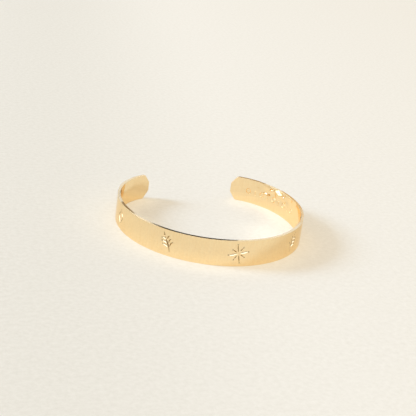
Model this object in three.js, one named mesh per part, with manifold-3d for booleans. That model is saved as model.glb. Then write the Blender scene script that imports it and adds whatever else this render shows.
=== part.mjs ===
// A cuff bracelet: one strip of gold-coloured sheet metal with clipped tips and softened edges, bent to
// an open oval, engraved outside with small ornaments and punched inside with a row of plain marks.
// Millimetres, +Z up. The cuff lies on its lower edge, and the gap between its tips faces +Y.
import * as THREE from 'three';
import Module from 'manifold-3d';

const wasm = await Module();
wasm.setup();

// The strip and how it is bent
const STRIP_LENGTH = 152; // tip to tip along the middle of the metal, a six inch blank
const BAND_WIDTH = 8.4;
const THICKNESS = 0.9; // 19 gauge sheet
const EDGE_RADIUS = 0.05;
const TIP_GAP = 29.5; // straight across the opening, between the middles of the two ends
const TIP_TIGHTENING = 0.6; // how much more sharply the tips are bent than the front, as a share
const TIGHTENING_START = 0.66; // share of each half of the strip that keeps the front's bend

// The clipped corners of each tip
const CLIP_ALONG = 2.0;
const CLIP_ACROSS = 2.7;
const CLIP_ROUNDING = 0.5; // length of edge that rounds each of the clip's own two corners

// The engraved ornaments outside, spaced evenly to both sides of the middle of the front
const ORNAMENT_PITCH = 22;
const ORNAMENT_HEIGHT = 6.0;
const STROKE_WIDTH = 0.5;
const STROKE_DEPTH = 0.22;
const STROKE_END_SHARE = 0.3; // how wide and deep a stroke is at its ends, against its middle

// The row of punched marks inside, near the right tip
const PUNCH_COUNT = 9;
const PUNCH_PITCH = 2.6;
const PUNCH_TIP_DISTANCE = 6.5; // from the right tip to the middle of the nearest mark
const PUNCH_SIZE = 2.1;
const PUNCH_DEPTH = 0.14;
const LENS_WIDTH = 0.84;

// How finely curves are cut into facets
const BEND_STEPS = 1200;
const BODY_SEGMENTS = 111; // odd, so that a facet and not a joint lies at the middle of the front
const EDGE_STEPS = 2;
const CLIP_STEPS = 3;
const STROKE_STEPS = 4;
const PUNCH_STEPS = 6;
const LEAST_STEP = 0.1;
const CUTTER_LIFT = 0.15; // how far a cutter stands out of the face that it cuts

// The ornaments' sizes, as shares of ORNAMENT_HEIGHT. A bow pushes a stroke's middle to its left, and
// wide multiplies its width and depth.
const STAR = { rays: 8, tilt: Math.PI / 16 };
const LONG_RAY = { from: 0.07, to: 0.5, bow: 0, wide: 1 };
const SHORT_RAY = { from: 0.12, to: 0.36, bow: 0, wide: 0.85 };
const SPRIG_STEM = { x0: -0.2, y0: -0.48, x1: 0.12, y1: 0.27, bow: 0.05, wide: 0.9 };
const SPRIG_BUD = { x0: 0.15, y0: 0.33, x1: 0.2, y1: 0.5, bow: 0, wide: 1.1 };
const SPRIG_LEAF = { angle: 0.85, from: 0.06, bow: 0.04, wide: 1 };
const SPRIG_LEAF_PAIRS = [
  { along: 0.3, length: 0.3 },
  { along: 0.55, length: 0.26 },
  { along: 0.8, length: 0.2 },
];
const LOZENGE = { halfWidth: 0.3, halfHeight: 0.42, trim: 0.1, bow: 0.03, wide: 1 };
const LOZENGE_HEART = { from: 0.04, to: 0.22, bow: 0, wide: 1 };

const HALF_LENGTH = STRIP_LENGTH / 2;
const HALF_WIDTH = BAND_WIDTH / 2;
const HALF_THICKNESS = THICKNESS / 2;
const QUARTER_TURN = Math.PI / 2;

// Rounding stops before it meets itself from both sides
const LARGEST_ROUNDING_SHARE = 0.45;
const SOFTENING = Math.min(EDGE_RADIUS, LARGEST_ROUNDING_SHARE * THICKNESS);

// How sharply the strip is bent at a distance s from its middle, against the bend at its middle
function bendShare(s) {
  const u = Math.abs(s) / HALF_LENGTH;
  return 1 + TIP_TIGHTENING * Math.max(0, (u - TIGHTENING_START) / (1 - TIGHTENING_START));
}

// The strip's middle line for a given total turn, as points from its middle to the right tip. The left
// half is its mirror image.
function halfLine(totalTurn) {
  const step = HALF_LENGTH / BEND_STEPS;
  const bends = Array.from({ length: BEND_STEPS }, (_, i) => bendShare((i + 0.5) * step));
  const turnPerBend = totalTurn / 2 / bends.reduce((sum, bend) => sum + bend, 0);
  const points = [{ x: 0, y: 0, heading: 0 }];
  for (const bend of bends) {
    const last = points[points.length - 1];
    const turn = bend * turnPerBend;
    points.push({
      x: last.x + step * Math.cos(last.heading + turn / 2),
      y: last.y + step * Math.sin(last.heading + turn / 2),
      heading: last.heading + turn,
    });
  }
  return points;
}

// The middle line whose tips stand TIP_GAP apart, found by halving the range of total turns
function solveHalfLine() {
  const halvings = 40;
  let tooOpen = 0;
  let tooClosed = 2 * Math.PI;
  for (let i = 0; i < halvings; i += 1) {
    const turn = (tooOpen + tooClosed) / 2;
    if (2 * halfLine(turn)[BEND_STEPS].x > TIP_GAP) {
      tooOpen = turn;
    } else {
      tooClosed = turn;
    }
  }
  return halfLine(tooOpen);
}

const HALF_LINE = solveHalfLine();

// A point at a distance s along the strip, out from its middle line, at height z above the lower edge
function onStrip(s, out, z) {
  const steps = (Math.abs(s) / HALF_LENGTH) * BEND_STEPS;
  const i = Math.min(Math.floor(steps), BEND_STEPS - 1);
  const [a, b] = [HALF_LINE[i], HALF_LINE[i + 1]];
  const t = steps - i;
  const heading = a.heading + t * (b.heading - a.heading);
  const x = a.x + t * (b.x - a.x) + out * Math.sin(heading);
  const y = a.y + t * (b.y - a.y) - out * Math.cos(heading);
  return new THREE.Vector3(s < 0 ? -x : x, y, z);
}

function solidOf(points, triangles) {
  const vertProperties = new Float32Array(points.flatMap((p) => p.toArray()));
  const triVerts = new Uint32Array(triangles);
  return new wasm.Manifold(new wasm.Mesh({ numProp: 3, vertProperties, triVerts }));
}

// A closed solid through a row of rings with equally many points, with flat ends
function loft(rings) {
  const count = rings[0].length;
  const last = (rings.length - 1) * count;
  const triangles = [];
  for (let start = 0; start < last; start += count) {
    for (let i = 0; i < count; i += 1) {
      const j = (i + 1) % count;
      const [a, b] = [start + i, start + j];
      triangles.push(a, b, b + count, a, b + count, a + count);
    }
  }
  for (let i = 1; i + 1 < count; i += 1) {
    triangles.push(0, i + 1, i);
    triangles.push(last, last + i, last + i + 1);
  }
  const solid = solidOf(rings.flat(), triangles);
  return solid.volume() > 0 ? solid : solidOf(rings.flat(), triangles.reverse());
}

// Half the strip's width by its distance from the end, through the clipped corner, whose own two corners
// are rounded
function tipProfile() {
  const start = new THREE.Vector2(0, HALF_WIDTH - CLIP_ACROSS);
  const end = new THREE.Vector2(CLIP_ALONG, HALF_WIDTH);
  const shortest = Math.min(2 * start.y, start.distanceTo(end));
  const rounding = Math.min(CLIP_ROUNDING, LARGEST_ROUNDING_SHARE * shortest);
  const along = end.clone().sub(start).setLength(rounding);
  const corners = [
    [start.clone().setY(start.y - rounding), start, start.clone().add(along)],
    [end.clone().sub(along), end, end.clone().setX(end.x + rounding)],
  ];
  return corners
    .flatMap((corner) => new THREE.QuadraticBezierCurve(...corner).getPoints(CLIP_STEPS))
    .map(({ x, y }) => ({ distance: x, half: y }));
}

function halfWidthAt(profile, distance) {
  const next = profile.findIndex((p) => p.distance >= distance);
  if (next === 0) {
    return profile[0].half;
  }
  const [a, b] = [profile[next - 1], profile[next]];
  return THREE.MathUtils.mapLinear(distance, a.distance, b.distance, a.half, b.half);
}

// Cross sections from tip to tip, each with its place s, its half width and how far the softening of the
// end has drawn it in
function sections() {
  const profile = tipProfile();
  const softened = Array.from({ length: EDGE_STEPS + 1 }, (_, i) => {
    const angle = (i / EDGE_STEPS) * QUARTER_TURN;
    return { distance: SOFTENING * (1 - Math.cos(angle)), inset: SOFTENING * (1 - Math.sin(angle)) };
  });
  const clipped = profile
    .filter(({ distance }) => distance > SOFTENING + LEAST_STEP)
    .map(({ distance }) => ({ distance, inset: 0 }));
  const tip = [...softened, ...clipped].map(({ distance, inset }) => ({
    s: HALF_LENGTH - distance,
    half: halfWidthAt(profile, distance),
    inset,
  }));
  const bodyHalf = tip[tip.length - 1].s;
  const body = Array.from({ length: BODY_SEGMENTS - 1 }, (_, i) => ({
    s: bodyHalf * ((2 * (i + 1)) / BODY_SEGMENTS - 1),
    half: HALF_WIDTH,
    inset: 0,
  }));
  return [...tip.map((section) => ({ ...section, s: -section.s })), ...body, ...tip.reverse()];
}

// The outline of one cross section: a rectangle with rounded corners
function sectionRing({ s, half, inset }) {
  const radius = Math.max(SOFTENING - inset, LEAST_STEP / 2);
  const out = HALF_THICKNESS - inset - radius;
  const up = half - inset - radius;
  const centres = [
    { out, up },
    { out: -out, up },
    { out: -out, up: -up },
    { out, up: -up },
  ];
  return centres.flatMap((centre, corner) =>
    Array.from({ length: EDGE_STEPS + 1 }, (_, i) => {
      const angle = (corner + i / EDGE_STEPS) * QUARTER_TURN;
      const z = HALF_WIDTH + centre.up + radius * Math.sin(angle);
      return onStrip(s, centre.out + radius * Math.cos(angle), z);
    }),
  );
}

// The cutter of one V-shaped stroke in a face. face is 1 outside and -1 inside. path(t) gives the
// stroke's place as s and z, and share(t) its width and depth against the full ones, for t from 0 to 1.
function strokeCutter({ face, path, share, width, depth, steps }) {
  const reach = 0.5 / steps;
  const rings = Array.from({ length: steps + 1 }, (_, i) => {
    const t = i / steps;
    const at = path(t);
    const way = path(Math.min(t + reach, 1)).sub(path(Math.max(t - reach, 0)));
    const cut = share(t) * depth;
    const lip = ((share(t) * width) / 2) * (1 + CUTTER_LIFT / cut);
    const across = new THREE.Vector2(-way.y, way.x).setLength(lip);
    return [
      onStrip(at.x + across.x, face * (HALF_THICKNESS + CUTTER_LIFT), at.y + across.y),
      onStrip(at.x - across.x, face * (HALF_THICKNESS + CUTTER_LIFT), at.y - across.y),
      onStrip(at.x, face * (HALF_THICKNESS - cut), at.y),
    ];
  });
  return loft(rings);
}

function starStrokes() {
  return Array.from({ length: STAR.rays }, (_, i) => {
    const angle = STAR.tilt + (i / STAR.rays) * 2 * Math.PI;
    const { from, to, bow, wide } = i % 2 === 0 ? LONG_RAY : SHORT_RAY;
    const way = { x: Math.cos(angle), y: Math.sin(angle) };
    return { x0: from * way.x, y0: from * way.y, x1: to * way.x, y1: to * way.y, bow, wide };
  });
}

// A stem with a bud and pairs of leaves, leaning to the right
function sprigStrokes() {
  const stemAngle = Math.atan2(SPRIG_STEM.y1 - SPRIG_STEM.y0, SPRIG_STEM.x1 - SPRIG_STEM.x0);
  const leaves = SPRIG_LEAF_PAIRS.flatMap(({ along, length }) =>
    [-1, 1].map((side) => {
      const angle = stemAngle + side * SPRIG_LEAF.angle;
      const root = {
        x: THREE.MathUtils.lerp(SPRIG_STEM.x0, SPRIG_STEM.x1, along) - SPRIG_STEM.bow * Math.sin(stemAngle),
        y: THREE.MathUtils.lerp(SPRIG_STEM.y0, SPRIG_STEM.y1, along) + SPRIG_STEM.bow * Math.cos(stemAngle),
      };
      return {
        x0: root.x + SPRIG_LEAF.from * Math.cos(angle),
        y0: root.y + SPRIG_LEAF.from * Math.sin(angle),
        x1: root.x + (SPRIG_LEAF.from + length) * Math.cos(angle),
        y1: root.y + (SPRIG_LEAF.from + length) * Math.sin(angle),
        bow: -side * SPRIG_LEAF.bow,
        wide: SPRIG_LEAF.wide,
      };
    }),
  );
  return [SPRIG_STEM, SPRIG_BUD, ...leaves];
}

function mirrored(strokes) {
  return strokes.map((stroke) => ({ ...stroke, x0: -stroke.x0, x1: -stroke.x1, bow: -stroke.bow }));
}

// Four sides that stop short of the corners, round a short upright of two strokes
function lozengeStrokes() {
  const { halfWidth, halfHeight, trim, bow, wide } = LOZENGE;
  const corners = [
    new THREE.Vector2(halfWidth, 0),
    new THREE.Vector2(0, halfHeight),
    new THREE.Vector2(-halfWidth, 0),
    new THREE.Vector2(0, -halfHeight),
  ];
  const sides = corners.map((corner, i) => {
    const next = corners[(i + 1) % corners.length];
    const from = corner.clone().lerp(next, trim);
    const to = next.clone().lerp(corner, trim);
    return { x0: from.x, y0: from.y, x1: to.x, y1: to.y, bow, wide };
  });
  const heart = [-1, 1].map((side) => ({
    x0: 0,
    y0: side * LOZENGE_HEART.from,
    x1: 0,
    y1: side * LOZENGE_HEART.to,
    bow: LOZENGE_HEART.bow,
    wide: LOZENGE_HEART.wide,
  }));
  return [...sides, ...heart];
}

function ornamentCutters({ place, strokes }) {
  const origin = new THREE.Vector2(place * ORNAMENT_PITCH, HALF_WIDTH);
  return strokes.map(({ x0, y0, x1, y1, bow, wide }) => {
    const from = new THREE.Vector2(x0, y0).multiplyScalar(ORNAMENT_HEIGHT).add(origin);
    const to = new THREE.Vector2(x1, y1).multiplyScalar(ORNAMENT_HEIGHT).add(origin);
    const way = to.clone().sub(from);
    const bulge = new THREE.Vector2(-way.y, way.x).setLength(ORNAMENT_HEIGHT).multiplyScalar(bow);
    return strokeCutter({
      face: 1,
      path: (t) => from.clone().lerp(to, t).addScaledVector(bulge, 4 * t * (1 - t)),
      share: (t) => wide * THREE.MathUtils.lerp(STROKE_END_SHARE, 1, Math.sin(Math.PI * t)),
      width: STROKE_WIDTH,
      depth: STROKE_DEPTH,
      steps: STROKE_STEPS,
    });
  });
}

// The punched marks are rings and upright lenses by turns
function ringCutter(s) {
  const radius = (PUNCH_SIZE - STROKE_WIDTH) / 2;
  const halves = [0, Math.PI].map((start) =>
    strokeCutter({
      face: -1,
      path: (t) => {
        const angle = start + t * Math.PI;
        return new THREE.Vector2(s + radius * Math.cos(angle), HALF_WIDTH + radius * Math.sin(angle));
      },
      share: () => 1,
      width: STROKE_WIDTH,
      depth: PUNCH_DEPTH,
      steps: PUNCH_STEPS,
    }),
  );
  return wasm.Manifold.union(halves);
}

function lensCutter(s) {
  return strokeCutter({
    face: -1,
    path: (t) => new THREE.Vector2(s, HALF_WIDTH + (t - 0.5) * PUNCH_SIZE),
    share: (t) => THREE.MathUtils.lerp(STROKE_END_SHARE, 1, Math.sin(Math.PI * t)),
    width: LENS_WIDTH,
    depth: PUNCH_DEPTH,
    steps: PUNCH_STEPS,
  });
}

function punchCutters() {
  return Array.from({ length: PUNCH_COUNT }, (_, i) => {
    const s = HALF_LENGTH - PUNCH_TIP_DISTANCE - i * PUNCH_PITCH;
    return i % 2 === 0 ? ringCutter(s) : lensCutter(s);
  });
}

function geometryOf(solid) {
  const mesh = solid.getMesh();
  const geometry = new THREE.BufferGeometry();
  geometry.setAttribute('position', new THREE.BufferAttribute(new Float32Array(mesh.vertProperties), 3));
  geometry.setIndex(new THREE.BufferAttribute(new Uint32Array(mesh.triVerts), 1));
  geometry.computeVertexNormals();
  return geometry;
}

function cuffBand() {
  const ornaments = [
    { place: -2, strokes: lozengeStrokes() },
    { place: -1, strokes: mirrored(sprigStrokes()) },
    { place: 0, strokes: starStrokes() },
    { place: 1, strokes: sprigStrokes() },
    { place: 2, strokes: lozengeStrokes() },
  ];
  const cutters = [...ornaments.flatMap(ornamentCutters), ...punchCutters()];
  const blank = loft(sections().map(sectionRing));
  const geometry = geometryOf(blank.subtract(wasm.Manifold.union(cutters)));
  geometry.computeBoundingBox();
  const middle = geometry.boundingBox.getCenter(new THREE.Vector3());
  geometry.translate(0, -middle.y, 0);
  const gold = new THREE.MeshStandardMaterial({ color: 0xedc37c, roughness: 0.15, metalness: 1 });
  const mesh = new THREE.Mesh(geometry, gold);
  mesh.name = 'cuff_band';
  return mesh;
}

const cuff = new THREE.Group();
cuff.add(cuffBand());

export default cuff;
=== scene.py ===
"""The looks of the cuff bracelet: a smooth, polished, engraved band that replaces the CAD solid."""

import math

import bpy
import numpy as np
from mathutils import Matrix, Vector, noise
from mathutils.geometry import delaunay_2d_cdt


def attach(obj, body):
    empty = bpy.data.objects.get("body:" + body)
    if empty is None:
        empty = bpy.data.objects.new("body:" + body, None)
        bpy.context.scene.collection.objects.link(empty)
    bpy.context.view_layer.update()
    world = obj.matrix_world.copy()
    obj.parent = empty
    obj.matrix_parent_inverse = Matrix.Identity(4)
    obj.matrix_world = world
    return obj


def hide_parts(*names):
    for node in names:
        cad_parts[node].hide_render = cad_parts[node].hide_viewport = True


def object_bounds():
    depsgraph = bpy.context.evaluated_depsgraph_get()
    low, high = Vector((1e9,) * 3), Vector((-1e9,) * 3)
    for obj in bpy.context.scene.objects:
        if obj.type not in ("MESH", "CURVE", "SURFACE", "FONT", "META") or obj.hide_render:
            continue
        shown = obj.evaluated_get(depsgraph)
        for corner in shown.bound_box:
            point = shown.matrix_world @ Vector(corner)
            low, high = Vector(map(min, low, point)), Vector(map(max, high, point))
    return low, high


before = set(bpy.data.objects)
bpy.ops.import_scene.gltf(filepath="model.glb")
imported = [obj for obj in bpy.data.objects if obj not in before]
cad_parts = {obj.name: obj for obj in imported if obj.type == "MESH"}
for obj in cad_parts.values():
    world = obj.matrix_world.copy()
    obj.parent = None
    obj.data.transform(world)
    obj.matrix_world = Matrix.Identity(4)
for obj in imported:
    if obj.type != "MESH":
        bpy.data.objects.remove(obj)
CAD_LOW, CAD_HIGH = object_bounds()

MM = 0.001
UP = np.array([0, 0, 1])

# The strip, in millimetres, with the same sizes as the CAD solid
STRIP_LENGTH = 152
BAND_WIDTH = 8.4
THICKNESS = 0.9
EDGE_RADIUS = 0.05
TIP_GAP = 29.5
TIP_TIGHTENING = 0.6
TIGHTENING_START = 0.66
CLIP_ALONG = 2.0
CLIP_ACROSS = 2.7
CLIP_ROUNDING = 0.5

HALF_LENGTH = STRIP_LENGTH / 2
HALF_WIDTH = BAND_WIDTH / 2
HALF_THICKNESS = THICKNESS / 2

# The engraved ornaments and the punched marks, in millimetres
ORNAMENT_PITCH = 22
ORNAMENT_HEIGHT = 6.0
STROKE_WIDTH = 0.5
STROKE_DEPTH = 0.22
PUNCH_COUNT = 9
PUNCH_PITCH = 2.6
PUNCH_TIP_DISTANCE = 6.5
PUNCH_SIZE = 2.1
PUNCH_DEPTH = 0.14
LENS_WIDTH = 0.84

# How blunt the ends of a stroke and of a lens are, from 0, square, to 1, a sine's point
STROKE_TAPER = 0.6
LENS_TAPER = 0.7

# The ornaments' own sizes, as shares of ORNAMENT_HEIGHT
STAR_RAYS = 8
STAR_TILT = math.pi / 16
LONG_RAY = {"from": 0.07, "to": 0.5, "wide": 1}
SHORT_RAY = {"from": 0.12, "to": 0.36, "wide": 0.85}
SPRIG_STEM = {"start": (-0.2, -0.48), "end": (0.12, 0.27), "bow": 0.05, "wide": 0.9}
SPRIG_BUD = {"start": (0.15, 0.33), "end": (0.2, 0.5), "bow": 0, "wide": 1.1}
SPRIG_LEAF = {"angle": 0.85, "from": 0.06, "bow": 0.04, "wide": 1}
SPRIG_LEAF_PAIRS = [
    {"along": 0.3, "length": 0.3},
    {"along": 0.55, "length": 0.26},
    {"along": 0.8, "length": 0.2},
]
LOZENGE = {"half_width": 0.3, "half_height": 0.42, "trim": 0.1, "bow": 0.03}
LOZENGE_HEART = {"from": 0.04, "to": 0.22}

# The dents inside the right tip, in millimetres: one layer of a noise, with a finer noise on it
DENTS_MIDDLE = (58, 2.2)
DENTS_REACH = (7, 2.2)
DENT_SIZE = 1.6
DENT_DEPTH = 0.55
DENT_LAYER = 15
FINER_DENTS = 3
FINER_DENTS_SHARE = 1 / 12
SLOPE_STEP = 0.08

# How finely the smooth band is made, with lengths in millimetres
BEND_STEPS = 1200
HALVINGS = 40
OUTLINE_STEP = 0.6
EDGE_STEPS = 5
CORNER_STEPS = 8
STROKE_STEPS = 12
RING_STEPS = 32
GRID_ROWS = 9
DENT_GRID_STEP = 0.16
GRID_CLEARANCE = 0.4
WELD = 1e-5
TRIANGLES_INSIDE = 1
SMALLEST_LENGTH = 1e-12

# The metal, with its two tones, its colours at a grazing angle, the painted shade in its strokes, and
# its waviness.
# A noise's scale is per metre. What is shown of the noise becomes 0 to 1, or the range given
GOLD_TONES = ((0.967, 0.745, 0.433, 1), (0.988, 0.79, 0.487, 1))
GOLD_GRAZING = (0.95, 0.88, 0.76, 1)
# Painted shade: the keels of the engraved strokes are darkened towards this dark brown, as shade in
# the grooves
STROKE_SHADE_COLOUR = (0.06, 0.035, 0.02, 1)
STROKE_SHADE_FADE = 1.8
TONE_NOISE = {"scale": (2600, 2600, 350), "detail": 3, "shown": (0.3, 0.7)}
ROUGHNESS_NOISE = {
    "scale": (400, 400, 9000),
    "detail": 4,
    "shown": (0.3, 0.75),
    "becomes": (0.03, 0.09),
}
WAVE_NOISE = {"scale": 110, "detail": 1}
WAVE_STRENGTH = 0.25
WAVE_HEIGHT = 0.0002

# The floor, in metres: its two tones, and which way and where the first turns into the second, which
# paints light that brightens the floor one way
FLOOR_HALF_SIZE = 3
FLOOR_ROUGHNESS = 0.9
FLOOR_MOTTLE_AND_LIGHT_TONES = ((0.815, 0.795, 0.75, 1), (0.9, 0.882, 0.843, 1))
FLOOR_PAINTED_LIGHT_WAY = (0.98, -0.17, 0)
FLOOR_TURN = (-0.06, 0.03)
MOTTLE_NOISE = {"scale": 700, "detail": 4, "roughness": 0.7}
MOTTLE_CONTRAST = 2.2

# The camera, in millimetres and degrees, found from the outlines in the photograph
CAMERA_TARGET = Vector((-1.74, 0.67, 7.22))
CAMERA_DISTANCE = 352.2
CAMERA_AZIMUTH = -20.05
CAMERA_ELEVATION = 21.87
CAMERA_ROLL = 8.28
CAMERA_LENS = 95.53
CAMERA_NEAREST = 0.01

# The light, with lengths in metres, directions in degrees and power in watts
SKY_COLOUR = (1, 0.91, 0.765, 1)
SKY_STRENGTH = 0.885
KEY_DIRECTION = {"azimuth": 252, "elevation": 27.5}
KEY_DISTANCE = 2
KEY_SIZE = 0.7
KEY_POWER = 22.5
KEY_COLOUR = (0.55, 0.77, 1.05)
GLOSSY_BLUR = 0.1

# The cards that the metal mirrors, with each corner's direction in degrees and the distance in metres
COOL = (0.88, 0.98, 1.2, 1)
WARM = (1, 0.8, 0.55, 1)
CARDS = [
    {
        "name": "dark_wall",
        "azimuths": (163.5, 163.2, 158.5, 158.3, 157.8, 157.3, 162.9),
        "elevations": (24, 60, 60, 26, 23, 21.9, 21.9),
        "distance": 2,
        "brightness": 0.01,
        "colour": COOL,
    },
    {
        "name": "dark_tip",
        "azimuths": (162.9, 157.3, 156.5, 156.5, 161),
        "elevations": (21.9, 21.9, 20, 15, 15),
        "distance": 2,
        "brightness": 0.4,
        "colour": WARM,
    },
    {
        "name": "dark_bend",
        "azimuths": (155.5, 153.8, 153.8, 155.5),
        "elevations": (21.9, 21.9, 19, 19),
        "distance": 2,
        "brightness": 0.7,
        "colour": WARM,
    },
    {
        "name": "dark_corner",
        "azimuths": (172, 172, 164.95, 164.9, 165.45),
        "elevations": (26, 60, 60, 22.3, 22.3),
        "distance": 2,
        "brightness": 0.3,
        "colour": WARM,
    },
    {
        "name": "right_window",
        "azimuths": (71, 89, 89, 71),
        "elevations": (25, 25, 41, 41),
        "distance": 3,
        "brightness": 2.5,
        "colour": COOL,
    },
    {
        "name": "white_wall",
        "azimuths": (228, 228, 105, 105),
        "elevations": (1, 35, 35, 1),
        "distance": 6,
        "brightness": 1,
        "colour": COOL,
    },
    {
        "name": "ceiling",
        "azimuths": (-62, -8, 45, 50, -9, -68),
        "elevations": (34, 36, 38, 58, 58, 58),
        "distance": 3,
        "brightness": 2.5,
        "colour": COOL,
    },
    {
        "name": "dark_front",
        "azimuths": (-50, 60, 60, -50),
        "elevations": (2, 2, 9, 9),
        "distance": 2,
        "brightness": 0.45,
        "colour": WARM,
    },
    {
        "name": "window",
        "azimuths": (-95, -82, -82, -95),
        "elevations": (3, 3, 42, 42),
        "distance": 3,
        "brightness": 2.8,
        "colour": COOL,
    },
    {
        "name": "softbox",
        "azimuths": (222, 266, 266, 222),
        "elevations": (4, 4, 34, 34),
        "distance": 3,
        "brightness": 3.4,
        "colour": COOL,
    },
]


def middle_line(total_turn):
    """x, y and heading along the right half of the strip's middle line, from the front to the tip."""
    step = HALF_LENGTH / BEND_STEPS
    share = (np.arange(BEND_STEPS) + 0.5) / BEND_STEPS
    tightening = (share - TIGHTENING_START) / (1 - TIGHTENING_START)
    bend = 1 + TIP_TIGHTENING * np.maximum(0, tightening)
    turn = bend * total_turn / 2 / bend.sum()
    heading = np.concatenate([[0], np.cumsum(turn)])
    way = heading[:-1] + turn / 2
    x = np.concatenate([[0], np.cumsum(step * np.cos(way))])
    y = np.concatenate([[0], np.cumsum(step * np.sin(way))])
    return x, y, heading


def solve_middle_line():
    """The middle line whose tips stand TIP_GAP apart."""
    too_open, too_closed = 0, 2 * math.pi
    for _ in range(HALVINGS):
        turn = (too_open + too_closed) / 2
        if 2 * middle_line(turn)[0][-1] > TIP_GAP:
            too_open = turn
        else:
            too_closed = turn
    return middle_line(too_open)


LINE_X, LINE_Y, LINE_HEADING = solve_middle_line()
LINE_S = np.linspace(0, HALF_LENGTH, BEND_STEPS + 1)
FRONT_Y = CAD_LOW.y / MM + HALF_THICKNESS


def facing(s):
    """The outward normal and the way along the strip at distances s from its middle."""
    heading = np.interp(np.abs(s), LINE_S, LINE_HEADING) * np.where(s < 0, -1, 1)
    flat = np.zeros_like(heading)
    outward = np.stack([np.sin(heading), -np.cos(heading), flat], axis=-1)
    along = np.stack([np.cos(heading), np.sin(heading), flat], axis=-1)
    return outward, along


def place(s, out, z):
    """Points at distances s along the strip, out from its middle line, at height z."""
    x = np.interp(np.abs(s), LINE_S, LINE_X) * np.where(s < 0, -1, 1)
    y = np.interp(np.abs(s), LINE_S, LINE_Y) + FRONT_Y
    outward, _ = facing(s)
    middle = np.stack([x, y, np.broadcast_to(z, x.shape)], axis=-1)
    return middle + outward * np.reshape(out, (-1, 1))


def bezier(a, b, c, steps):
    """Points on the curve from a to c that bends towards b, with both its ends."""
    t = np.linspace(0, 1, steps + 1)[:, None]
    return (1 - t) ** 2 * a + 2 * t * (1 - t) * b + t**2 * c


def spaced(a, b, step):
    """Points from a towards b, without b, at most step apart."""
    count = max(1, math.ceil(np.linalg.norm(b - a) / step))
    return a + (b - a) * (np.arange(count) / count)[:, None]


def quarter_outline():
    """The strip's outline from the middle of the right end to the middle of the upper edge."""
    start = np.array([0, HALF_WIDTH - CLIP_ACROSS])
    end = np.array([CLIP_ALONG, HALF_WIDTH])
    along = (end - start) / np.linalg.norm(end - start) * CLIP_ROUNDING
    first = bezier(start - (0, CLIP_ROUNDING), start, start + along, CORNER_STEPS)
    second = bezier(end - along, end, end + (CLIP_ROUNDING, 0), CORNER_STEPS)
    parts = [
        spaced(np.zeros(2), first[0], OUTLINE_STEP),
        first[:-1],
        spaced(first[-1], second[0], OUTLINE_STEP),
        second[:-1],
        spaced(second[-1], np.array([HALF_LENGTH, HALF_WIDTH]), OUTLINE_STEP),
    ]
    from_end = np.concatenate(parts)
    return np.stack([HALF_LENGTH - from_end[:, 0], from_end[:, 1]], axis=1)


def outline():
    """The strip's whole outline, counterclockwise as s and z from its centre, with outward normals."""
    quarter = quarter_outline()
    top_middle = np.array([[0, HALF_WIDTH]])
    right_top = np.concatenate([quarter, top_middle])
    left_top = right_top[::-1][1:] * (-1, 1)
    top = np.concatenate([right_top, left_top])
    bottom = top[::-1][1:-1] * (1, -1)
    loop = np.concatenate([top, bottom])
    edge = np.roll(loop, -1, axis=0) - loop
    side = np.stack([edge[:, 1], -edge[:, 0]], axis=1)
    side /= np.linalg.norm(side, axis=1, keepdims=True)
    normal = side + np.roll(side, 1, axis=0)
    normal /= np.linalg.norm(normal, axis=1, keepdims=True)
    return loop, normal


def stroke(start, end, bow, wide):
    """A tapered V-shaped stroke as its two lips and its keel, in shares of ORNAMENT_HEIGHT."""
    start, end = np.array(start), np.array(end)
    way = (end - start) / np.linalg.norm(end - start)
    t = np.linspace(0, 1, STROKE_STEPS + 1)[:, None]
    left = np.array([-way[1], way[0]])
    keel = start + (end - start) * t + left * bow * 4 * t * (1 - t)
    taper = wide * np.sin(math.pi * t) ** STROKE_TAPER
    across = left * taper * STROKE_WIDTH / 2 / ORNAMENT_HEIGHT
    return {"keel": keel, "left": keel + across, "right": keel - across, "taper": taper[:, 0]}


def star_strokes():
    """Long and short rays in turn."""
    strokes = []
    for ray in range(STAR_RAYS):
        angle = STAR_TILT + ray / STAR_RAYS * 2 * math.pi
        size = SHORT_RAY if ray % 2 else LONG_RAY
        way = np.array([math.cos(angle), math.sin(angle)])
        strokes.append(stroke(size["from"] * way, size["to"] * way, 0, size["wide"]))
    return strokes


def sprig_strokes(side):
    """A stem with a bud and pairs of leaves, leaning to the right, or to the left for side -1."""
    start, end = np.array(SPRIG_STEM["start"]), np.array(SPRIG_STEM["end"])
    stem_angle = math.atan2(*(end - start)[::-1])
    left = np.array([-math.sin(stem_angle), math.cos(stem_angle)])
    rows = [SPRIG_STEM, SPRIG_BUD]
    for pair in SPRIG_LEAF_PAIRS:
        root = start + pair["along"] * (end - start) + left * SPRIG_STEM["bow"]
        for way in (-1, 1):
            angle = stem_angle + way * SPRIG_LEAF["angle"]
            out = np.array([math.cos(angle), math.sin(angle)])
            rows.append(
                {
                    "start": root + SPRIG_LEAF["from"] * out,
                    "end": root + (SPRIG_LEAF["from"] + pair["length"]) * out,
                    "bow": -way * SPRIG_LEAF["bow"],
                    "wide": SPRIG_LEAF["wide"],
                }
            )
    mirror = np.array([side, 1])
    return [
        stroke(row["start"] * mirror, row["end"] * mirror, side * row["bow"], row["wide"])
        for row in rows
    ]


def lozenge_strokes():
    """Four sides that stop short of the corners, round a short upright of two strokes."""
    width, height = LOZENGE["half_width"], LOZENGE["half_height"]
    corners = np.array([(width, 0), (0, height), (-width, 0), (0, -height)])
    strokes = []
    for corner, following in zip(corners, np.roll(corners, -1, axis=0)):
        trim = LOZENGE["trim"] * (following - corner)
        strokes.append(stroke(corner + trim, following - trim, LOZENGE["bow"], 1))
    for way in (-1, 1):
        start, end = (0, way * LOZENGE_HEART["from"]), (0, way * LOZENGE_HEART["to"])
        strokes.append(stroke(start, end, 0, 1))
    return strokes


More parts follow.
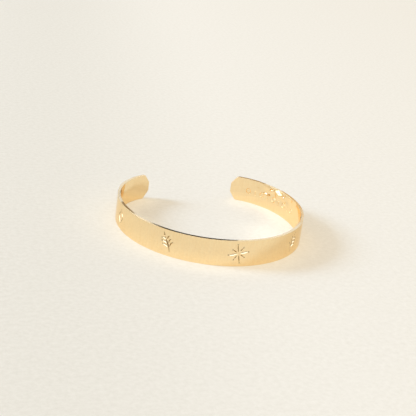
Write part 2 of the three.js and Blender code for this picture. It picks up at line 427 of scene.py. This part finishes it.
def ornaments():
    """All engraved strokes outside, in millimetres from the strip's centre."""
    rows = [
        (-2, lozenge_strokes()),
        (-1, sprig_strokes(-1)),
        (0, star_strokes()),
        (1, sprig_strokes(1)),
        (2, lozenge_strokes()),
    ]
    grooves = []
    for spot, strokes in rows:
        centre = np.array([spot * ORNAMENT_PITCH, 0])
        for cut in strokes:
            lines = {k: cut[k] * ORNAMENT_HEIGHT + centre for k in ("keel", "left", "right")}
            depth = cut["taper"] * STROKE_DEPTH
            grooves.append({**lines, "depth": depth, "closed": False})
    return grooves


def punched_ring(centre):
    """A round groove."""
    turn = np.linspace(0, 2 * math.pi, RING_STEPS, endpoint=False)
    ray = np.stack([np.cos(turn), np.sin(turn)], axis=1)
    radius = (PUNCH_SIZE - STROKE_WIDTH) / 2
    return {
        "keel": centre + ray * radius,
        "left": centre + ray * (radius - STROKE_WIDTH / 2),
        "right": centre + ray * (radius + STROKE_WIDTH / 2),
        "depth": np.full(RING_STEPS, PUNCH_DEPTH),
        "closed": True,
    }


def punched_lens(centre):
    """An upright groove that is widest in its middle."""
    t = np.linspace(0, 1, STROKE_STEPS + 1)
    taper = np.sin(math.pi * t) ** LENS_TAPER
    keel = centre + np.stack([np.zeros_like(t), (t - 0.5) * PUNCH_SIZE], axis=1)
    across = np.stack([-taper * LENS_WIDTH / 2, np.zeros_like(t)], axis=1)
    return {
        "keel": keel,
        "left": keel + across,
        "right": keel - across,
        "depth": taper * PUNCH_DEPTH,
        "closed": False,
    }


def punches():
    """All marks inside, in millimetres from the strip's centre."""
    marks = []
    for i in range(PUNCH_COUNT):
        centre = np.array([HALF_LENGTH - PUNCH_TIP_DISTANCE - i * PUNCH_PITCH, 0])
        marks.append(punched_lens(centre) if i % 2 else punched_ring(centre))
    return marks


class Surface:
    """The band's mesh in the making: points, faces, a normal for each face corner and the painted
    shade of each point.
    """

    def __init__(self):
        self.points = []
        self.faces = []
        self.normals = []
        self.dark = []

    def add_points(self, points, dark=0):
        """Adds points, each darkened by 0 to 1 with painted shade, and returns their indices."""
        first = len(self.points)
        self.points.extend(points.tolist())
        self.dark.extend(np.broadcast_to(dark, len(points)))
        return np.arange(first, first + len(points))

    def add_face(self, corners, normals):
        """Adds a face with a normal at each of its corners."""
        self.faces.append([int(c) for c in corners])
        self.normals.extend(normals)

    def flat_normal(self, corners):
        """The normal of the flat face that points with these indices make."""
        a, b, c = (np.array(self.points[i]) for i in corners[:3])
        normal = np.cross(b - a, c - a)
        return normal / max(np.linalg.norm(normal), SMALLEST_LENGTH)


def add_edge(surface, loop, normal):
    """The rounded edge all round the strip. Returns the point indices next to each face."""
    angles = np.linspace(0, math.pi / 2, EDGE_STEPS + 1)
    rows = [(1, angle) for angle in angles] + [(-1, angle) for angle in angles[::-1]]
    outward, along = facing(loop[:, 0])
    sideways = along * normal[:, :1] + UP * normal[:, 1:]
    rings, ring_normals = [], []
    for side, angle in rows:
        inset = loop - normal * EDGE_RADIUS * (1 - math.sin(angle))
        out = side * (HALF_THICKNESS - EDGE_RADIUS * (1 - math.cos(angle)))
        points = place(inset[:, 0], np.full(len(loop), out), HALF_WIDTH + inset[:, 1])
        rings.append(surface.add_points(points))
        ring_normals.append(side * math.cos(angle) * outward + math.sin(angle) * sideways)
    count = len(loop)
    for r in range(len(rings) - 1):
        for i in range(count):
            j = (i + 1) % count
            corners = [rings[r][i], rings[r + 1][i], rings[r + 1][j], rings[r][j]]
            shades = [
                ring_normals[r][i],
                ring_normals[r + 1][i],
                ring_normals[r + 1][j],
                ring_normals[r][j],
            ]
            surface.add_face(corners, shades)
    return rings[0], rings[-1]


def grid_points(grooves, low, high, rows):
    """Points between two distances along the strip that keep triangles short, clear of the grooves."""
    levels, step = np.linspace(-HALF_WIDTH, HALF_WIDTH, rows + 2, retstep=True)
    step = min(step, OUTLINE_STEP)
    columns = np.linspace(low, high, math.ceil((high - low) / step))
    grid = np.stack(np.meshgrid(columns, levels[1:-1]), axis=-1).reshape(-1, 2)
    cut = np.concatenate([g[k] for g in grooves for k in ("keel", "left", "right")])
    gap = np.linalg.norm(grid[:, None] - cut[None], axis=2).min(axis=1)
    return grid[gap > GRID_CLEARANCE * step]


def sheet_grid(side, grooves):
    """All the points that keep a face's triangles short, which lie closer together round the dents."""
    end = HALF_LENGTH - CLIP_ALONG - CLIP_ROUNDING
    if side > 0:
        return grid_points(grooves, -end, end, GRID_ROWS)
    start = DENTS_MIDDLE[0] - 2 * DENTS_REACH[0]
    coarse = grid_points(grooves, -end, start - OUTLINE_STEP, GRID_ROWS)
    fine = grid_points(grooves, start, end, round(BAND_WIDTH / DENT_GRID_STEP))
    return np.concatenate([coarse, fine])


def dent_depth(spots):
    """How deep the metal is dented at spots inside, in dents that fade away from their middle."""
    away = (spots - DENTS_MIDDLE) / DENTS_REACH
    fade = np.exp(-(away**2).sum(axis=1))
    places = [Vector((*spot, DENT_LAYER)) / DENT_SIZE for spot in spots]
    ripple = [
        noise.noise(place) + noise.noise(FINER_DENTS * place) * FINER_DENTS_SHARE
        for place in places
    ]
    return DENT_DEPTH * fade * ripple


def dent_slope(spots):
    """How fast dent_depth grows along the strip and across it."""
    ways = [np.array([SLOPE_STEP, 0]), np.array([0, SLOPE_STEP])]
    rises = [dent_depth(spots + way) - dent_depth(spots - way) for way in ways]
    return np.stack(rises, axis=1) / (2 * SLOPE_STEP)


def add_groove(groove, spots, depths, edges):
    """Adds a groove's lips and keel to the points of a face, their depths and the edges it keeps."""
    for name in ("left", "right", "keel"):
        line = groove[name]
        chain = range(len(spots), len(spots) + len(line))
        spots += list(map(tuple, line))
        depths += list(groove["depth"]) if name == "keel" else [0.0] * len(line)
        edges += list(zip(chain, chain[1:]))
        if groove["closed"]:
            edges.append((chain[-1], chain[0]))


def face_relief(side, flat, depths):
    """How far out from the strip's middle the points of a face lie, and their smooth normals."""
    level = side * (HALF_THICKNESS - depths)
    outward, along = facing(flat[:, 0])
    if side > 0:
        return level, outward
    slope = dent_slope(flat)
    normals = side * outward + slope[:, :1] * along + slope[:, 1:] * UP
    normals /= np.linalg.norm(normals, axis=1, keepdims=True)
    return level + dent_depth(flat), normals


def add_face_sheet(surface, side, border, loop, grooves):
    """One face of the strip, outside for side 1 and inside for side -1, with grooves cut into it."""
    spots, depths = list(map(tuple, loop)), [0.0] * len(loop)
    edges = [(i, (i + 1) % len(loop)) for i in range(len(loop))]
    for groove in grooves:
        add_groove(groove, spots, depths, edges)
    grid = sheet_grid(side, grooves)
    spots += list(map(tuple, grid))
    depths += [0.0] * len(grid)
    spots = list(map(Vector, spots))
    made = delaunay_2d_cdt(spots, edges, [], TRIANGLES_INSIDE, WELD)
    verts, _, faces, origins, *_ = made

    index = {}
    for v, origin in enumerate(origins):
        on_border = [i for i in origin if i < len(loop)]
        if on_border:
            index[v] = border[on_border[0]]
    fresh = [v for v in range(len(verts)) if v not in index]
    flat = np.array([tuple(v) for v in verts])
    depth_of = np.array([max((depths[i] for i in origin), default=0.0) for origin in origins])
    level, normals = face_relief(side, flat, depth_of)
    # Painted shade: the keels of the grooves outside are marked to be darkened; the punches inside are
    # not
    dark = depth_of[fresh] > 0 if side > 0 else 0
    points = place(flat[fresh, 0], level[fresh], HALF_WIDTH + flat[fresh, 1])
    index.update(zip(fresh, surface.add_points(points, dark)))

    for face in faces:
        corners = face if side > 0 else face[::-1]
        chosen = [index[v] for v in corners]
        if depth_of[list(face)].max() > 0:
            surface.add_face(chosen, [surface.flat_normal(chosen)] * len(face))
        else:
            surface.add_face(chosen, [normals[v] for v in corners])


def add_object(name, data):
    """An object of the scene with the mesh, light or camera given."""
    made = bpy.data.objects.new(name, data)
    bpy.context.collection.objects.link(made)
    return made


def make_band():
    """The band as one closed mesh, kept within the CAD solid's box."""
    surface = Surface()
    loop, normal = outline()
    outside, inside = add_edge(surface, loop, normal)
    inner_loop = loop - normal * EDGE_RADIUS
    add_face_sheet(surface, 1, outside, inner_loop, ornaments())
    add_face_sheet(surface, -1, inside, inner_loop, punches())
    mesh = bpy.data.meshes.new("band")
    points = np.clip(np.array(surface.points) * MM, CAD_LOW, CAD_HIGH)
    mesh.from_pydata(points, [], surface.faces)
    mesh.shade_smooth()
    mesh.normals_split_custom_set(surface.normals)
    # The painted shade in the grooves, kept on each point
    dark = mesh.attributes.new("dark", "FLOAT", "POINT")
    dark.data.foreach_set("value", np.array(surface.dark, dtype=float))
    return add_object("band", mesh)


class Painter:
    """A new material, with a short way to add each kind of node that this scene uses."""

    def __init__(self, name):
        self.material = bpy.data.materials.new(name)
        self.material.use_nodes = True
        self.nodes = self.material.node_tree.nodes
        self.link = self.material.node_tree.links.new
        self.shader = self.nodes["Principled BSDF"]

    def set(self, **values):
        """Gives the shader's own sockets their values, with _ for each space in a socket's name."""
        for name, value in values.items():
            self.shader.inputs[name.replace("_", " ")].default_value = value

    def object_spot(self):
        """Where a point lies on the object."""
        return self.nodes.new("ShaderNodeTexCoord").outputs["Object"]

    def noise(self, spot, scale, detail, roughness=0.5):
        """A noise from 0 to 1."""
        texture = self.nodes.new("ShaderNodeTexNoise")
        texture.inputs["Scale"].default_value = scale
        texture.inputs["Detail"].default_value = detail
        texture.inputs["Roughness"].default_value = roughness
        self.link(spot, texture.inputs["Vector"])
        return texture.outputs["Fac"]

    def stretched_noise(self, spot, scale, detail, shown, becomes=(0, 1)):
        """A noise with a scale for each axis, with the part shown turned into another range."""
        mapping = self.nodes.new("ShaderNodeMapping")
        mapping.inputs["Scale"].default_value = scale
        self.link(spot, mapping.inputs["Vector"])
        return self.ranged(self.noise(mapping.outputs["Vector"], 1, detail), shown, becomes)

    def ranged(self, value, source, target, interpolation="LINEAR"):
        """A value whose range is turned into another one."""
        turned = self.nodes.new("ShaderNodeMapRange")
        turned.interpolation_type = interpolation
        names = ("From Min", "From Max", "To Min", "To Max")
        for name, limit in zip(names, (*source, *target)):
            turned.inputs[name].default_value = limit
        self.link(value, turned.inputs["Value"])
        return turned.outputs["Result"]

    def mixed(self, factor, first, second, clamp=True):
        """A colour, or another node's colour, mixed with a second colour."""
        mix = self.nodes.new("ShaderNodeMix")
        mix.data_type = "RGBA"
        mix.clamp_factor = clamp
        if isinstance(first, tuple):
            mix.inputs["A"].default_value = first
        else:
            self.link(first, mix.inputs["A"])
        mix.inputs["B"].default_value = second
        self.link(factor, mix.inputs["Factor"])
        return mix.outputs["Result"]

    def maths(self, operation, value, number, third=None):
        """A value worked out with a number and, where one is given, a third value."""
        node = self.nodes.new("ShaderNodeMath")
        node.operation = operation
        node.inputs[1].default_value = number
        self.link(value, node.inputs[0])
        if third is not None:
            self.link(third, node.inputs[2])
        return node.outputs["Value"]


def gold_material():
    """Polished gold-coloured metal with a slightly uneven surface, hairline scratches and painted
    shade in its engraved strokes.
    """
    gold = Painter("gold_metal")
    gold.set(Metallic=1, Specular_Tint=GOLD_GRAZING)
    spot = gold.object_spot()

    tint = gold.mixed(gold.stretched_noise(spot, **TONE_NOISE), *GOLD_TONES)
    # Painted shade: the base colour turns dark brown along the keels of the grooves outside, where the
    # dark attribute marks them
    dark = gold.nodes.new("ShaderNodeAttribute")
    dark.attribute_name = "dark"
    groove_shade = gold.maths("POWER", dark.outputs["Fac"], STROKE_SHADE_FADE)
    gold.link(gold.mixed(groove_shade, tint, STROKE_SHADE_COLOUR), gold.shader.inputs["Base Color"])

    rough = gold.stretched_noise(spot, **ROUGHNESS_NOISE)
    gold.link(rough, gold.shader.inputs["Roughness"])

    wavy = gold.nodes.new("ShaderNodeBump")
    wavy.inputs["Strength"].default_value = WAVE_STRENGTH
    wavy.inputs["Distance"].default_value = WAVE_HEIGHT
    gold.link(gold.noise(spot, **WAVE_NOISE), wavy.inputs["Height"])
    gold.link(wavy.outputs["Normal"], gold.shader.inputs["Normal"])
    return gold.material


def floor_material():
    """A matt, finely mottled, pale floor, with painted light that makes it brighter on one side."""
    floor = Painter("floor")
    floor.set(Roughness=FLOOR_ROUGHNESS, Specular_IOR_Level=0)
    spot = floor.object_spot()
    # Painted light: the colour turns from the darker tone to the lighter one along one way across the
    # floor, as if that side were lit more; the mottle on it is the floor's own
    across = floor.nodes.new("ShaderNodeVectorMath")
    across.operation = "DOT_PRODUCT"
    across.inputs[1].default_value = FLOOR_PAINTED_LIGHT_WAY
    floor.link(spot, across.inputs[0])
    half = MOTTLE_CONTRAST / 2
    painted_light = floor.ranged(across.outputs["Value"], FLOOR_TURN, (-half, 1 - half), "SMOOTHSTEP")
    mottle = floor.noise(spot, **MOTTLE_NOISE)
    blend = floor.maths("MULTIPLY_ADD", mottle, MOTTLE_CONTRAST, painted_light)
    tint = floor.mixed(blend, *FLOOR_MOTTLE_AND_LIGHT_TONES, clamp=False)
    floor.link(tint, floor.shader.inputs["Base Color"])
    return floor.material


def card_material(name, brightness, colour):
    """A surface that only glows."""
    card = Painter(name)
    card.set(Base_Color=(0, 0, 0, 1), Specular_IOR_Level=0)
    card.set(Emission_Color=colour, Emission_Strength=brightness)
    return card.material


def make_floor():
    """A level square, far larger than what the camera sees."""
    size = FLOOR_HALF_SIZE
    mesh = bpy.data.meshes.new("floor")
    corners = [(-size, -size, 0), (size, -size, 0), (size, size, 0), (-size, size, 0)]
    mesh.from_pydata(corners, [], [(0, 1, 2, 3)])
    mesh.materials.append(floor_material())
    floor = add_object("floor", mesh)


def look_from(azimuth, elevation, roll=0):
    """The rotation of something that looks at the origin from a direction, and that direction."""
    a, e = math.radians(azimuth), math.radians(elevation)
    back = Vector((math.sin(a) * math.cos(e), -math.cos(a) * math.cos(e), math.sin(e)))
    right = Vector((math.cos(a), math.sin(a), 0))
    up = back.cross(right)
    turn = Matrix((right, up, back)).transposed().to_4x4()
    return turn @ Matrix.Rotation(math.radians(roll), 4, "Z"), back


def make_camera():
    """The photograph's camera."""
    data = bpy.data.cameras.new("camera")
    data.lens = CAMERA_LENS
    data.clip_start = CAMERA_NEAREST
    camera = add_object("camera", data)
    turn, back = look_from(CAMERA_AZIMUTH, CAMERA_ELEVATION, CAMERA_ROLL)
    spot = (CAMERA_TARGET + back * CAMERA_DISTANCE) * MM
    camera.matrix_world = Matrix.Translation(spot) @ turn
    bpy.context.scene.camera = camera


def make_key():
    """The main light, whose place in the metal's reflections the softbox card takes."""
    data = bpy.data.lights.new("key", "AREA")
    data.shape = "DISK"
    data.size = KEY_SIZE
    data.energy = KEY_POWER
    data.color = KEY_COLOUR
    key = add_object("key", data)
    key.visible_glossy = False
    turn, back = look_from(**KEY_DIRECTION)
    key.matrix_world = Matrix.Translation(back * KEY_DISTANCE) @ turn


def make_card(name, azimuths, elevations, distance, brightness, colour):
    """A glowing board seen only in the metal, with a corner in each of the directions given."""
    backs = [look_from(*direction)[1] for direction in zip(azimuths, elevations)]
    mesh = bpy.data.meshes.new(name)
    mesh.from_pydata([back * distance for back in backs], [], [range(len(backs))])
    mesh.materials.append(card_material(name, brightness, colour))
    card = add_object(name, mesh)
    card.visible_camera = False
    card.visible_diffuse = False
    card.visible_shadow = False
    card.visible_transmission = False


def make_sky():
    """An even light from all round."""
    world = bpy.data.worlds.new("studio")
    bpy.context.scene.world = world
    world.use_nodes = True
    background = world.node_tree.nodes["Background"]
    background.inputs["Color"].default_value = SKY_COLOUR
    background.inputs["Strength"].default_value = SKY_STRENGTH


band = make_band()
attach(band, "root")
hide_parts("cuff_band")
band.data.materials.append(gold_material())
make_floor()
make_camera()
make_sky()
make_key()
for card in CARDS:
    make_card(**card)
bpy.context.scene.view_settings.view_transform = "Standard"
bpy.context.scene.cycles.blur_glossy = GLOSSY_BLUR
